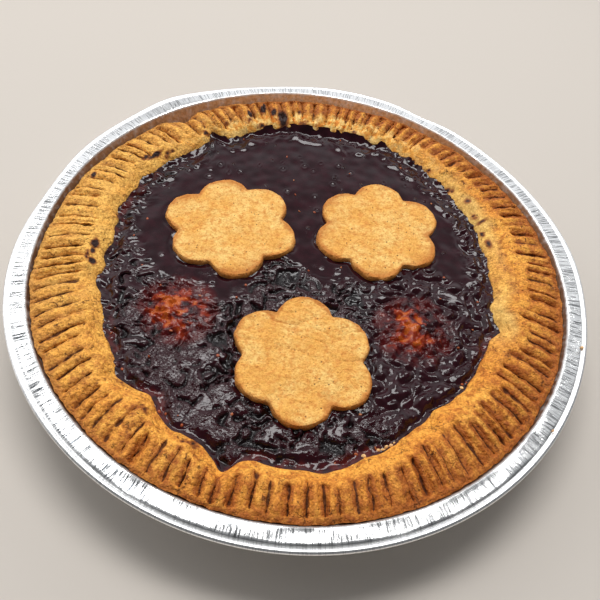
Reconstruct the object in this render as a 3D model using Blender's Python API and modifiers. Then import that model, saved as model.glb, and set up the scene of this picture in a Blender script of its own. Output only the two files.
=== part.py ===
"""Linzer torte in its foil pie tin: a fork marked nut crust filled with jam, and three flower biscuits on it.

Metres, +Z up. The origin is under the middle of the tin, on the table.
Angles run anticlockwise from +X, seen from above, and the torte's near side faces -Y.
"""
import math
import random

import bmesh
import bpy
from mathutils import Vector
from mathutils.geometry import delaunay_2d_cdt

# Clearance between pieces that touch, and the angle past which an edge is shaded sharp
GAP = 0.0003
SHARP = math.radians(38)

# Foil tin
RIM_RADIUS = 0.129
RIM_HEIGHT = 0.030
SHEET = 0.0005
WALL_TOP_RADIUS = 0.1201
WALL_LEAN = math.radians(32)
TIN_CORNER = 0.002
FLANGE_RADIUS = 0.1262
GROOVE_WIDTH = 0.0006
GROOVE_DEPTH = 0.0013
BEAD_SIZE = 0.0011
BEAD_DROP = 0.0018
BEAD_TURNS = (120, 60, 0, -60, -120)
TIN_STEPS = 88

# How the thin foil is bent, each as angle, reach and half width in degrees:
# the wall's top pushed out, the bead pushed out past that, and the bead lifted
WALL_BENDS = (
    (178, -0.0014, 16),
    (90, 0.0007, 24),
    (45, -0.0009, 13),
)
BEAD_BENDS = (
    (170, -0.0015, 11),
    (131, 0.0010, 8),
    (65, -0.0009, 5),
    (12, 0.0012, 12),
)
BEAD_LIFTS = (
    (132, 0.0014, 8),
    (105, -0.0017, 12),
    (65, -0.0010, 5),
    (172, -0.0008, 12),
)
BEND_START = 0.012

# Crust
CRUST_FLOOR = 0.0085
CREST_HEIGHT = 0.0006
CREST_SWAY = 0.0009
CREST_STATION = 0.62
SHOULDER_ROUND = 2.6
LIP_ROUND = 2.2
STATIONS = (0.0, 0.07, 0.28, 0.56, 0.82, 1.0)
OUTER_DROP = 0.0021
OUTER_DROP_SWAY = 0.00115
OUTER_DROP_TURN = math.radians(20)
SHRINK = 0.0010
SHRINK_SWAY = 0.0005
FOOT_RUN = 0.0032
FOOT_HEIGHT = 0.0046
BROW_DROP = 0.0023
BROW_RUN = 0.0037
RECESS_RUN = 0.0055
CHIP_ANGLE = 130
CHIP_DEPTH = 0.0020
CHIP_WIDTH = 3.5

# Where jam meets crust: the middle radius, how much the ring is wider from near to far than across,
# and each bay or tongue as its angle, outward reach and half width in degrees
JAM_EDGE_RADIUS = 0.0922
JAM_EDGE_OVAL = 0.0036
JAM_EDGE_BAYS = (
    (353, -0.0016, 4),
    (345, 0.0032, 2.5),
    (309, -0.0039, 11),
    (58, 0.0018, 18),
    (80, 0.0028, 2.2),
    (102, 0.0012, 4),
    (120, -0.0016, 6),
    (126.6, 0.0068, 2.0),
    (160, 0.0046, 17),
    (184, -0.0010, 4),
    (198, 0.0013, 5),
    (204.5, 0.0015, 2.0),
    (226, 0.0015, 3.5),
    (237, -0.0032, 3.5),
    (250, 0.0026, 45),
    (258.6, 0.0030, 3.6),
    (260.1, 0.0034, 1.8),
    (283, 0.0023, 5),
)

# Fork marks
MARKS = 112
MARK_DEPTH = 0.0014
MARK_DEPTH_SPREAD = 0.4
MARK_PITCH_SPREAD = 0.2
MARK_HALF_WIDTH = 0.22
MARK_LEAN = math.radians(1.8)
MARK_SEED = 7
MARK_HEEL = 0.16
MARK_FULLNESS = 0.6
MARK_REACH = 0.98
MARK_SHORT_ANGLE = 20
MARK_SHORT_BY = 0.30
MARK_SHORT_WIDTH = 38

# Jam
JAM_LEVEL = RIM_HEIGHT - 0.006
PLATEAU_RUN = 0.0074
PLATEAU_RUN_SWAY = 0.0022
TROUGH_SHARE = 0.48
TROUGH_DEPTH = 0.0008
LUMP_HEIGHT = 0.0006
LUMP_TURNS = 400
LUMP_SWIRL = 260
LUMP_FADE = 0.05
JAM_SPACING = 0.0080
MOUND_CENTRES = ((-0.0495, -0.0350), (0.0522, -0.0290))
MOUND_RADIUS = 0.0145
MOUND_HEIGHT = 0.0030
MOUND_RINGS = ((0.35, 8), (0.7, 14), (1.05, 18))
MOUND_CLEAR = 1.35

# Flower biscuits: centre, turn of the first petal, and each petal's own reach past the standard one
PETALS = 6
PETAL_RING = 0.0190
PETAL_RADIUS = 0.0125
PETAL_POINTS = 7
NOTCH_EASE = math.radians(6)
BISCUIT_THICKNESS = 0.0050
BISCUIT_TOP = RIM_HEIGHT - 0.0038
BISCUIT_EDGE = 0.0009
BISCUITS = {
    "biscuit_left": ((-0.0373, 0.0168), -11.7, (0.0007, 0.0001, -0.0009, 0.0005, -0.0014, 0.0)),
    "biscuit_right": ((0.0336, 0.0278), 31.0, (0.0001, -0.0002, -0.0013, 0.0004, -0.0004, -0.0010)),
    "biscuit_front": ((0.0054, -0.0504), 34.3, (-0.0012, -0.0004, 0.0002, -0.0020, -0.0004, -0.0004)),
}


def turn_between(first, second):
    """Smallest turn between two directions in degrees, with its sign."""
    return (first - second + 180) % 360 - 180


def bump(degrees, centre, height, width):
    """One smooth swelling round the ring."""
    return height * math.exp(-((turn_between(degrees, centre) / width) ** 2))


def polar(radius, angle, height):
    return Vector((radius * math.cos(angle), radius * math.sin(angle), height))


def rim_push(angle, height):
    """How far the bent rim pushes the wall out at this angle and height."""
    degrees = math.degrees(angle)
    push = sum(bump(degrees, *bend) for bend in WALL_BENDS)
    part = max(0.0, (height - BEND_START) / (RIM_HEIGHT - BEND_START))
    return push * min(1.0, part) ** 2


def bent(spot):
    """Where a point of the true round tin lies once the wall and the flange are bent."""
    angle = math.atan2(spot.y, spot.x)
    degrees = math.degrees(angle)
    radius = spot.xy.length
    out = max(0.0, (radius - WALL_TOP_RADIUS) / (RIM_RADIUS - WALL_TOP_RADIUS))
    push = rim_push(angle, spot.z) + out * sum(bump(degrees, *bend) for bend in BEAD_BENDS)
    lift = out * sum(bump(degrees, *bend) for bend in BEAD_LIFTS)
    return polar(radius + push, angle, spot.z + lift)


def wall_radius(angle, height):
    """Inner face of the tin's wall."""
    lean = (RIM_HEIGHT - height) * math.tan(WALL_LEAN)
    return WALL_TOP_RADIUS - lean + rim_push(angle, height)


def jam_edge_radius(angle):
    """Where the jam meets the crust at the jam's level."""
    degrees = math.degrees(angle)
    bays = sum(bump(degrees, *bay) for bay in JAM_EDGE_BAYS)
    return JAM_EDGE_RADIUS - JAM_EDGE_OVAL * math.cos(2 * angle) + bays


def recess_radius(angle, height):
    """Inner face of the crust below its brow, from the jam's level down to the floor of the recess."""
    depth = (JAM_LEVEL - height) / (JAM_LEVEL - CRUST_FLOOR)
    if depth >= 0:
        return jam_edge_radius(angle) - RECESS_RUN * depth
    brow = RIM_HEIGHT - BROW_DROP
    return jam_edge_radius(angle) + BROW_RUN * (height - JAM_LEVEL) / (brow - JAM_LEVEL)


def paint(thing, colour, roughness, metallic=0.0):
    """Gives the object its own plain material."""
    material = bpy.data.materials.new(thing.name)
    material.use_nodes = True
    shader = material.node_tree.nodes["Principled BSDF"]
    shader.inputs["Base Color"].default_value = (*colour, 1)
    shader.inputs["Roughness"].default_value = roughness
    shader.inputs["Metallic"].default_value = metallic
    material.diffuse_color = (*colour, 1)
    thing.data.materials.append(material)


def new_object(name, mesh, collection):
    thing = bpy.data.objects.new(name, mesh)
    collection.objects.link(thing)
    return thing


def loft(name, rings, collection):
    """A closed solid through rings of equal counts, with a flat cap on the first ring and on the last."""
    shape = bmesh.new()
    corners = [[shape.verts.new(point) for point in ring] for ring in rings]
    count = len(rings[0])
    for lower, upper in zip(corners, corners[1:]):
        for step in range(count):
            after = (step + 1) % count
            shape.faces.new((lower[step], lower[after], upper[after], upper[step]))
    shape.faces.new(reversed(corners[0]))
    shape.faces.new(corners[-1])
    mesh = bpy.data.meshes.new(name)
    shape.to_mesh(mesh)
    shape.free()
    return new_object(name, mesh, collection)


def applied(thing):
    """Bakes the object's modifiers, or its curve, into a plain mesh."""
    graph = bpy.context.evaluated_depsgraph_get()
    return bpy.data.meshes.new_from_object(thing.evaluated_get(graph))


def tin_profile():
    """The sheet's section: along the inside, over the flange, round the bead and back along the outside."""
    top = RIM_HEIGHT
    lean = math.tan(WALL_LEAN)
    inner_corner = WALL_TOP_RADIUS - (top - SHEET) * lean
    wall_out = SHEET / math.cos(WALL_LEAN)
    outer_corner = WALL_TOP_RADIUS - top * lean + wall_out
    bead = RIM_RADIUS - BEAD_SIZE
    inside = [
        (0.0, SHEET),
        (inner_corner - TIN_CORNER, SHEET),
        (inner_corner + TIN_CORNER * lean, SHEET + TIN_CORNER),
        (WALL_TOP_RADIUS, top),
        (FLANGE_RADIUS, top),
        (FLANGE_RADIUS + GROOVE_WIDTH, top - GROOVE_DEPTH),
    ]
    rolled = []
    for degrees in BEAD_TURNS:
        turn = math.radians(degrees)
        rolled.append((bead + BEAD_SIZE * math.cos(turn), top - BEAD_DROP + BEAD_SIZE * math.sin(turn)))
    outside = [
        (FLANGE_RADIUS - SHEET, top - SHEET),
        (WALL_TOP_RADIUS + wall_out - SHEET * lean, top - SHEET),
        (outer_corner + TIN_CORNER * lean, TIN_CORNER),
        (outer_corner - TIN_CORNER, 0.0),
        (0.0, 0.0),
    ]
    return inside + rolled + outside


def make_tin(collection):
    """The section turned round the axis, then bent in and out where the rim is dented."""
    points = list(reversed(tin_profile()))
    mesh = bpy.data.meshes.new("tin section")
    edges = [(number, number + 1) for number in range(len(points) - 1)]
    mesh.from_pydata([(radius, 0, height) for radius, height in points], edges, [])
    section = new_object("tin section", mesh, collection)
    screw = section.modifiers.new("turn", "SCREW")
    screw.steps = TIN_STEPS
    screw.render_steps = TIN_STEPS
    screw.use_merge_vertices = True
    screw.merge_threshold = 0.00001
    screw.use_normal_calculate = True
    turned = applied(section)
    bpy.data.objects.remove(section)
    for corner in turned.vertices:
        if corner.co.xy.length > GAP:
            corner.co = bent(corner.co)
    tin = new_object("foil_tin", turned, collection)
    shape = bmesh.new()
    shape.from_mesh(turned)
    bmesh.ops.recalc_face_normals(shape, faces=shape.faces)
    shape.to_mesh(turned)
    shape.free()
    tin.data.shade_smooth()
    tin.data.set_sharp_from_angle(angle=SHARP)
    paint(tin, (0.80, 0.81, 0.82), 0.3, 1.0)


def fork_marks():
    """Angle and depth of each mark round the crust, uneven in pitch and pressure."""
    draw = random.Random(MARK_SEED)
    pitch = 2 * math.pi / MARKS
    marks = []
    for number in range(MARKS):
        angle = pitch * (number + draw.uniform(-1, 1) * MARK_PITCH_SPREAD)
        marks.append((angle, MARK_DEPTH * (1 + draw.uniform(-1, 1) * MARK_DEPTH_SPREAD)))
    return marks


def crust_columns():
    """Three columns to a mark, as angle and depth: its two brinks and the valley between them."""
    pitch = 2 * math.pi / MARKS
    columns = []
    for angle, depth in fork_marks():
        half = pitch * MARK_HALF_WIDTH
        columns += [(angle - half, 0.0), (angle, depth), (angle + half, 0.0)]
    return columns


def crust_point(station, angle, depth):
    """One point of the marked top. Station 0 is the outer edge and 1 is the brow above the jam."""
    degrees = math.degrees(angle)
    chip = bump(degrees, CHIP_ANGLE, CHIP_DEPTH, CHIP_WIDTH)
    drop = OUTER_DROP + OUTER_DROP_SWAY * math.sin(angle - OUTER_DROP_TURN) + chip
    edge_height = RIM_HEIGHT - drop
    shrink = SHRINK - SHRINK_SWAY * math.cos(angle) + chip / 2
    outer = wall_radius(angle, edge_height) - shrink
    brow = jam_edge_radius(angle) + BROW_RUN
    radius = outer + (brow - outer) * station
    crest = RIM_HEIGHT + CREST_HEIGHT - CREST_SWAY * math.sin(angle)
    # A round shoulder up from the outer edge, a broad crest, and a roll down to the brow
    rise = 1 - (1 - min(1.0, station / CREST_STATION)) ** SHOULDER_ROUND
    fall = max(0.0, (station - CREST_STATION) / (1 - CREST_STATION)) ** LIP_ROUND
    height = edge_height + (crest - edge_height) * rise
    height -= (crest - (RIM_HEIGHT - BROW_DROP)) * fall
    reach = MARK_REACH - bump(degrees, MARK_SHORT_ANGLE, MARK_SHORT_BY, MARK_SHORT_WIDTH)
    along = min(1.0, (station / reach + MARK_HEEL) / (1 + MARK_HEEL))
    pressed = math.sin(math.pi * along) ** MARK_FULLNESS
    height -= depth * pressed
    lean = -MARK_LEAN * math.cos(angle) * (0.5 - station)
    radius = min(radius, wall_radius(angle + lean, height) - shrink)
    return polar(radius, angle + lean, height)


def make_crust(collection):
    """A loft from the underside, up the outer wall, over the marked top and down into the recess."""
    columns = crust_columns()
    foot = SHEET + GAP
    rings = []
    rings.append([polar(wall_radius(a, foot) - FOOT_RUN, a, foot) for a, _ in columns])
    rings.append([polar(wall_radius(a, FOOT_HEIGHT) - GAP * 2, a, FOOT_HEIGHT) for a, _ in columns])
    for station in STATIONS:
        rings.append([crust_point(station, a, depth) for a, depth in columns])
    for height in (JAM_LEVEL, CRUST_FLOOR):
        rings.append([polar(recess_radius(a, height), a, height) for a, _ in columns])
    crust = loft("crust", rings, collection)
    crust.data.shade_smooth()
    crust.data.set_sharp_from_angle(angle=SHARP)
    paint(crust, (0.55, 0.28, 0.09), 0.75)


def petal_outline(spare, reaches):
    """Points round a flower of six round petals, grown all over by the spare width."""
    points = []
    for petal in range(PETALS):
        middle = 2 * math.pi * petal / PETALS
        centre = Vector((math.cos(middle), math.sin(middle))) * (PETAL_RING + reaches[petal])
        radius = PETAL_RADIUS + spare
        side = PETAL_RING * math.sin(math.pi / PETALS)
        sweep = math.pi / 2 + math.pi / PETALS - math.acos(side / radius) - NOTCH_EASE
        for step in range(PETAL_POINTS):
            turn = middle + sweep * (2 * step / (PETAL_POINTS - 1) - 1)
            points.append(centre + Vector((math.cos(turn), math.sin(turn))) * radius)
    return points


def flower_slab(name, place, turn, reaches, low, high, edge, spare, collection):
    """A flat flower extruded from a filled 2D curve, its upper rim bevelled by the edge width."""
    curve = bpy.data.curves.new(name, "CURVE")
    curve.dimensions = "2D"
    curve.fill_mode = "BOTH"
    curve.extrude = (high - low) / 2
    outline = petal_outline(spare, reaches)
    spline = curve.splines.new("POLY")
    spline.points.add(len(outline) - 1)
    for point, spot in zip(spline.points, outline):
        point.co = (spot.x, spot.y, 0, 1)
    spline.use_cyclic_u = True
    drawn = new_object(name + " curve", curve, collection)
    drawn.location = (place[0], place[1], (low + high) / 2)
    drawn.rotation_euler = (0, 0, math.radians(turn))
    bpy.context.view_layer.update()
    shape = bmesh.new()
    shape.from_mesh(applied(drawn))
    shape.transform(drawn.matrix_world)
    bpy.data.objects.remove(drawn)
    bmesh.ops.remove_doubles(shape, verts=shape.verts, dist=0.00001)
    bmesh.ops.dissolve_limit(shape, angle_limit=math.radians(1), verts=shape.verts, edges=shape.edges)
    bmesh.ops.recalc_face_normals(shape, faces=shape.faces)
    if edge:
        middle = (low + high) / 2
        rims = [line for line in shape.edges if min(line.verts[0].co.z, line.verts[1].co.z) > middle]
        bmesh.ops.bevel(shape, geom=rims, offset=edge, segments=2, profile=0.5, affect="EDGES")
    mesh = bpy.data.meshes.new(name)
    shape.to_mesh(mesh)
    shape.free()
    return new_object(name, mesh, collection)


def make_biscuits(collection):
    low = BISCUIT_TOP - BISCUIT_THICKNESS
    for name, (place, turn, reaches) in BISCUITS.items():
        biscuit = flower_slab(name, place, turn, reaches, low, BISCUIT_TOP, BISCUIT_EDGE, 0.0, collection)
        biscuit.data.shade_smooth()
        biscuit.data.set_sharp_from_angle(angle=SHARP)
        paint(biscuit, (0.72, 0.41, 0.14), 0.7)


def plateau_run(angle):
    """Width of the low ring between the crust and the jam's plateau, wider on the far side."""
    return PLATEAU_RUN + PLATEAU_RUN_SWAY * math.sin(angle)


def jam_height(spot):
    """Height of the jam's face: a low trough round the edge, a lumpy near half and two mounds."""
    angle = math.atan2(spot.y, spot.x)
    inward = jam_edge_radius(angle) - spot.length
    trough = plateau_run(angle) * TROUGH_SHARE
    if inward < trough:
        return JAM_LEVEL - TROUGH_DEPTH * math.sin(math.pi / 2 * inward / trough)
    share = min(1.0, (inward - trough) / (plateau_run(angle) - trough))
    height = JAM_LEVEL - TROUGH_DEPTH * (1 - share) ** 2
    near = min(1.0, max(0.0, 0.5 - spot.y / LUMP_FADE))
    across = math.sin(spot.x * LUMP_TURNS + 2 * math.sin(spot.y * LUMP_SWIRL))
    along = math.sin(spot.y * LUMP_TURNS + 2 * math.sin(spot.x * LUMP_SWIRL / 2))
    height += LUMP_HEIGHT * across * along * near * share
    for centre in MOUND_CENTRES:
        away = (spot - Vector(centre)).length / MOUND_RADIUS
        if away < 1:
            height += MOUND_HEIGHT * (math.cos(away * math.pi) + 1) / 2
    return height


def jam_spots(angles):
    """Plan points of the jam's face: the edge, its trough, the plateau's brink, the mounds and an even net."""
    spots = [polar(jam_edge_radius(a) - GAP, a, 0).xy for a in angles]
    for share, skip in ((TROUGH_SHARE, 2), (1.0, 3)):
        spots += [polar(jam_edge_radius(a) - plateau_run(a) * share, a, 0).xy for a in angles[::skip]]
    for centre in MOUND_CENTRES:
        spots.append(Vector(centre))
        for ring, count in MOUND_RINGS:
            turns = [2 * math.pi * step / count for step in range(count)]
            spots += [Vector(centre) + polar(MOUND_RADIUS * ring, turn, 0).xy for turn in turns]
    row_step = JAM_SPACING * math.sin(math.pi / 3)
    reach = int(RIM_RADIUS / row_step)
    for row in range(-reach, reach + 1):
        for column in range(-reach, reach + 1):
            spot = Vector((JAM_SPACING * (column + 0.5 * (row % 2)), row_step * row))
            if clear_of_features(spot):
                spots.append(spot)
    return spots


def clear_of_features(spot):
    """True where the even net may have a point: inside the plateau, off the mounds and off the biscuits."""
    angle = math.atan2(spot.y, spot.x)
    inward = jam_edge_radius(angle) - spot.length
    on_mound = any((spot - Vector(centre)).length < MOUND_RADIUS * MOUND_CLEAR for centre in MOUND_CENTRES)
    biscuit_core = PETAL_RING + PETAL_RADIUS / 2
    on_biscuit = any((spot - Vector(place)).length < biscuit_core for place, _, _ in BISCUITS.values())
    return inward > plateau_run(angle) + JAM_SPACING / 2 and not on_mound and not on_biscuit


def make_jam(collection, cutters):
    """The face is a net over the plan points, closed by a wall and a flat floor, with the biscuits' beds cut in."""
    angles = [angle for angle, _ in crust_columns()]
    plan = jam_spots(angles)
    count = len(angles)
    outline = [(number, (number + 1) % count) for number in range(count)]
    spots, _, faces, _, _, _ = delaunay_2d_cdt(plan, outline, [], 1, 0.000001)
    shape = bmesh.new()
    top = [shape.verts.new((spot.x, spot.y, jam_height(spot))) for spot in spots]
    for face in faces:
        shape.faces.new([top[number] for number in face])
    level = CRUST_FLOOR + GAP
    lower = [shape.verts.new(polar(recess_radius(a, level) - GAP, a, level)) for a in angles]
    for step in range(count):
        after = (step + 1) % count
        shape.faces.new((lower[step], lower[after], top[after], top[step]))
    shape.faces.new(lower)
    bmesh.ops.recalc_face_normals(shape, faces=shape.faces)
    mesh = bpy.data.meshes.new("jam")
    shape.to_mesh(mesh)
    shape.free()
    jam = new_object("jam", mesh, collection)
    low = BISCUIT_TOP - BISCUIT_THICKNESS - GAP
    for name, (place, turn, reaches) in BISCUITS.items():
        bed = flower_slab(name + " bed", place, turn, reaches, low, RIM_HEIGHT * 2, 0.0, GAP, cutters)
        bed.hide_render = True
        bed.display_type = "WIRE"
        cut = jam.modifiers.new(name + " bed", "BOOLEAN")
        cut.object = bed
        cut.operation = "DIFFERENCE"
        cut.solver = "EXACT"
    jam.data.shade_smooth()
    jam.data.set_sharp_from_angle(angle=SHARP)
    paint(jam, (0.06, 0.012, 0.018), 0.2)


for old in list(bpy.data.objects):
    bpy.data.objects.remove(old)
torte = bpy.data.collections.new("linzer torte")
beds = bpy.data.collections.new("cutters")
bpy.context.scene.collection.children.link(torte)
bpy.context.scene.collection.children.link(beds)
make_tin(torte)
make_crust(torte)
make_jam(torte, beds)
make_biscuits(torte)
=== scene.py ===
"""A linzer torte in its foil pie tin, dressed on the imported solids: metres, +Z up, near side at -Y."""
import math
import random

import bpy
import numpy as np
from mathutils import Matrix, Vector, noise


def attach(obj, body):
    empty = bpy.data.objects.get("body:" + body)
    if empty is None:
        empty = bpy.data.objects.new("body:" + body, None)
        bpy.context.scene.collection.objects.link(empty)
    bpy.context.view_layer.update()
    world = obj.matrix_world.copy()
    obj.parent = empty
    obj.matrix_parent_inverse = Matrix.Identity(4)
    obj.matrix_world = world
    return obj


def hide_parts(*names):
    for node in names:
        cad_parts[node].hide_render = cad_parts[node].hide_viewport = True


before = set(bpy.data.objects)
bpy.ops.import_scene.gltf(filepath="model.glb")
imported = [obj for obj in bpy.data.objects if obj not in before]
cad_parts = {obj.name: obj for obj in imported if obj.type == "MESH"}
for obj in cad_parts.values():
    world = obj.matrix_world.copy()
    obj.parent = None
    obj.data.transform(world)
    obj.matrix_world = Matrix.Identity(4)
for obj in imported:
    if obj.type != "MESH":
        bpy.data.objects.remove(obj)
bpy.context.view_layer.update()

# Foil pie tin. Thin bright aluminium pressed from one round sheet, its edge rolled into a bead.
# A ring of edges is pulled out and up ring by ring, then the sheet is crimped and bent as in the photograph.
# Each bend is its place round the rim in degrees, its reach, and its half width in degrees.
RIM_RADIUS = 0.129
RIM_HEIGHT = 0.03
SHEET = 0.0003
SLOPING_SHEET = 0.0004
BASE_TOP = 0.0005
WALL_TOP_RADIUS = 0.1201
WALL_LEAN = math.tan(math.radians(32))
FLANGE_RADIUS = 0.1262
FLANGE_START = 0.0018
BEAD_SIZE = 0.0011
BEAD_DROP = 0.0014
BEAD_TURNS = (130, 100, 70, 40, 5, -35, -75, -120, -160)
TIN_SIDES = 2048
CREASES = 560
CREASE_DEPTH = 0.00022
CRIMP_RISE = 0.00006
FLANGE_WAVE = 0.0003
BEND_START = 0.012
WALL_BENDS = ((178, -0.0014, 16), (90, 0.0007, 24), (45, -0.0009, 13))
BEAD_BENDS = ((170, -0.0015, 11), (131, 0.001, 8), (65, -0.0009, 5), (12, 0.0012, 12))
BEAD_LIFTS = ((132, 0.0014, 8), (105, -0.0017, 12), (65, -0.001, 5), (172, -0.0008, 12))
# Places where the painted crease shade is stronger
STRONGER_CREASE_SHADE = ((0, 0.2, 40), (180, 0.28, 44), (238, 0.31, 34))
# The foil's colour, and the dark of its crease lines, painted as shade and reflection in the crimps
FOIL_BRIGHT = (0.9, 0.9, 0.895)
FOIL_CREASE_SHADE = (0.06, 0.065, 0.071)
# Painted reflection of the crust on the inner wall, laid on as a brown film, with a darker painted shade
CRUST_REFLECTION_TAN = (0.78, 0.4, 0.18)
CRUST_REFLECTION_BROWN = (0.56, 0.25, 0.09)
CRUST_REFLECTION_DARK = (0.11, 0.042, 0.016)


def swelling(angle, bends):
    """How far a list of bends pushes at each angle."""
    total = np.zeros_like(angle)
    for middle, reach, width in bends:
        turn = (np.degrees(angle) - middle + 180) % 360 - 180
        total += reach * np.exp(-(turn / width) ** 2)
    return total


def rising(value, start, run):
    """Share from 0 to 1 as the value climbs over the run that follows its start."""
    return np.clip((value - start) / run, 0, 1)


def falling(value, end, run):
    """Share from 1 to 0 as the value climbs over the run before its end."""
    return np.clip((end - value) / run, 0, 1)


def wall_line(height):
    """Radius of the straight wall, before it is bent."""
    return WALL_TOP_RADIUS - (RIM_HEIGHT - height) * WALL_LEAN


def wall_push(angle, height):
    """How far the bends move the wall in or out."""
    return swelling(angle, WALL_BENDS) * rising(height, BEND_START, RIM_HEIGHT - BEND_START) ** 2


def wall_radius(angle, height):
    """Inner face of the bent foil wall."""
    return wall_line(height) + wall_push(angle, height)


def around(angle, reach, height):
    """Points at these angles round the middle, at these distances from it and heights."""
    return np.stack((reach * np.cos(angle), reach * np.sin(angle), height * np.ones_like(angle)), axis=1)


def ring_noise(angle, radius, turns, rate):
    """Noise that runs on round the ring without a seam."""
    return np.array([noise.noise(Vector((math.cos(a) * turns, math.sin(a) * turns, r * rate)))
                     for a, r in zip(angle, radius)])


def spots_of(piece):
    """The places of a piece's points."""
    spots = np.empty(len(piece.data.vertices) * 3)
    piece.data.vertices.foreach_get("co", spots)
    return spots.reshape(-1, 3)


def place_spots(piece, spots):
    """Moves a piece's points to these places."""
    piece.data.vertices.foreach_set("co", spots.ravel())
    piece.data.update()


def pulled_rings(name, sides, section):
    """A ring of edges at the section's first radius and height, extruded and scaled through the others."""
    bpy.ops.mesh.primitive_circle_add(vertices=sides, radius=section[0][0], location=(0, 0, section[0][1]))
    piece = bpy.context.object
    piece.name = name
    bpy.ops.object.mode_set(mode="EDIT")
    bpy.ops.mesh.select_all(action="SELECT")
    for (radius, height), (wider, higher) in zip(section, section[1:]):
        bpy.ops.mesh.extrude_edges_move(TRANSFORM_OT_translate={"value": (0, 0, higher - height)})
        bpy.ops.transform.resize(value=(wider / radius, wider / radius, 1), center_override=(0, 0, 0))
    bpy.ops.object.mode_set(mode="OBJECT")
    bpy.ops.object.transform_apply()
    return piece


def capped():
    """Fills the open rings of the piece just made and turns every face outwards."""
    bpy.ops.object.mode_set(mode="EDIT")
    bpy.ops.mesh.select_non_manifold(extend=False, use_wire=False, use_multi_face=False)
    bpy.ops.mesh.fill_holes(sides=0)
    bpy.ops.mesh.select_all(action="SELECT")
    bpy.ops.mesh.normals_make_consistent(inside=False)
    bpy.ops.object.mode_set(mode="OBJECT")


def stain(piece, name, amount):
    """Keeps a share from 0 to 1 at each point of the piece, which its material reads."""
    layer = piece.data.attributes.new(name, "FLOAT", "POINT")
    layer.data.foreach_set("value", np.clip(amount, 0, 1).astype(np.float32))


def node(tree, kind, sockets=(), **settings):
    """Adds a shader node. A socket given another socket is joined to it, and otherwise takes the value."""
    made = tree.nodes.new("ShaderNode" + kind)
    for key, value in settings.items():
        setattr(made, key, value)
    for key, value in dict(sockets).items():
        if isinstance(value, bpy.types.NodeSocket):
            tree.links.new(value, made.inputs[key])
        else:
            made.inputs[key].default_value = value
    return made


def new_finish(name):
    """A new material, with its node tree, its shader and the place on the piece."""
    material = bpy.data.materials.new(name)
    material.use_nodes = True
    tree = material.node_tree
    return material, tree, tree.nodes["Principled BSDF"], node(tree, "TexCoord").outputs["Object"]


def read(tree, name):
    """The share that stain kept under this name."""
    return node(tree, "Attribute", attribute_name=name).outputs["Fac"]


def grains(tree, place, size, detail=3.0, rough=0.55, warp=0.0):
    """Noise with lumps of about this size in metres, from 0 to 1."""
    given = {"Vector": place, "Scale": 1 / size, "Detail": detail, "Roughness": rough, "Distortion": warp}
    return node(tree, "TexNoise", given).outputs["Fac"]


def ramp(tree, amount, low, high, start=0.0, end=1.0):
    """Carries an amount from the range low to high into the range start to end, smoothly."""
    given = {"Value": amount, "From Min": low, "From Max": high, "To Min": start, "To Max": end}
    return node(tree, "MapRange", given, interpolation_type="SMOOTHSTEP").outputs["Result"]


def sums(tree, kind, first, second):
    """One step of arithmetic on two amounts."""
    return node(tree, "Math", {0: first, 1: second}, operation=kind).outputs[0]


def moved(tree, kind, first, second):
    """One step of arithmetic on two places."""
    return node(tree, "VectorMath", {0: first, 1: second}, operation=kind).outputs[0]


def product(tree, first, second):
    """The product of two amounts."""
    return sums(tree, "MULTIPLY", first, second)


def blended(tree, share, first, second, kind="MIX"):
    """Blends two colours by a share. A colour is a socket or three linear values."""
    first, second = [(*c, 1) if isinstance(c, tuple) else c for c in (first, second)]
    return node(tree, "Mix", {0: share, 6: first, 7: second}, data_type="RGBA", blend_type=kind).outputs[2]


def raised(tree, height, distance, strength=1.0, under=None):
    """Bump from a height between 0 and 1 that stands for this many metres."""
    given = {"Height": height, "Distance": distance, "Strength": strength}
    if under:
        given["Normal"] = under
    return node(tree, "Bump", given).outputs["Normal"]


tin_inside = [(0.004, BASE_TOP), (0.095, BASE_TOP), (0.0999, BASE_TOP), (0.1013, 0.0008), (0.1027, 0.0022)]
for height in (0.008, 0.014, 0.018, 0.0205, 0.0225, 0.0245, 0.0263, 0.028, 0.0291):
    tin_inside.append((wall_line(height), height))
tin_inside += [(WALL_TOP_RADIUS - 0.0002, 0.0297), (WALL_TOP_RADIUS + 0.0003, RIM_HEIGHT)]
for share in (0.13, 0.26, 0.4, 0.54, 0.68, 0.82, 0.93):
    tin_inside.append((WALL_TOP_RADIUS + (FLANGE_RADIUS - WALL_TOP_RADIUS) * share, RIM_HEIGHT))
tin_inside += [(FLANGE_RADIUS + 0.0001, RIM_HEIGHT - 0.0002), (FLANGE_RADIUS + 0.0004, RIM_HEIGHT - 0.0008)]
for degrees in BEAD_TURNS:
    turn = math.radians(degrees)
    out = RIM_RADIUS - BEAD_SIZE + BEAD_SIZE * math.cos(turn)
    tin_inside.append((out, RIM_HEIGHT - BEAD_DROP + BEAD_SIZE * math.sin(turn)))
tin_outside = [(FLANGE_RADIUS - 0.0004, RIM_HEIGHT - SHEET), (0.1232, RIM_HEIGHT - SHEET)]
tin_outside += [(WALL_TOP_RADIUS + SLOPING_SHEET, RIM_HEIGHT - SHEET - 0.0001)]
for height in (0.0285, 0.0255, 0.021, 0.016, 0.01, 0.005, 0.0022):
    tin_outside.append((wall_line(height) + SLOPING_SHEET, height))
tin_outside += [(0.1017, 0.0007), (0.1004, 0.0001), (0.099, 0.0), (0.004, 0.0)]
tin = pulled_rings("pie_tin", TIN_SIDES, tin_inside + tin_outside)
capped()

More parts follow.
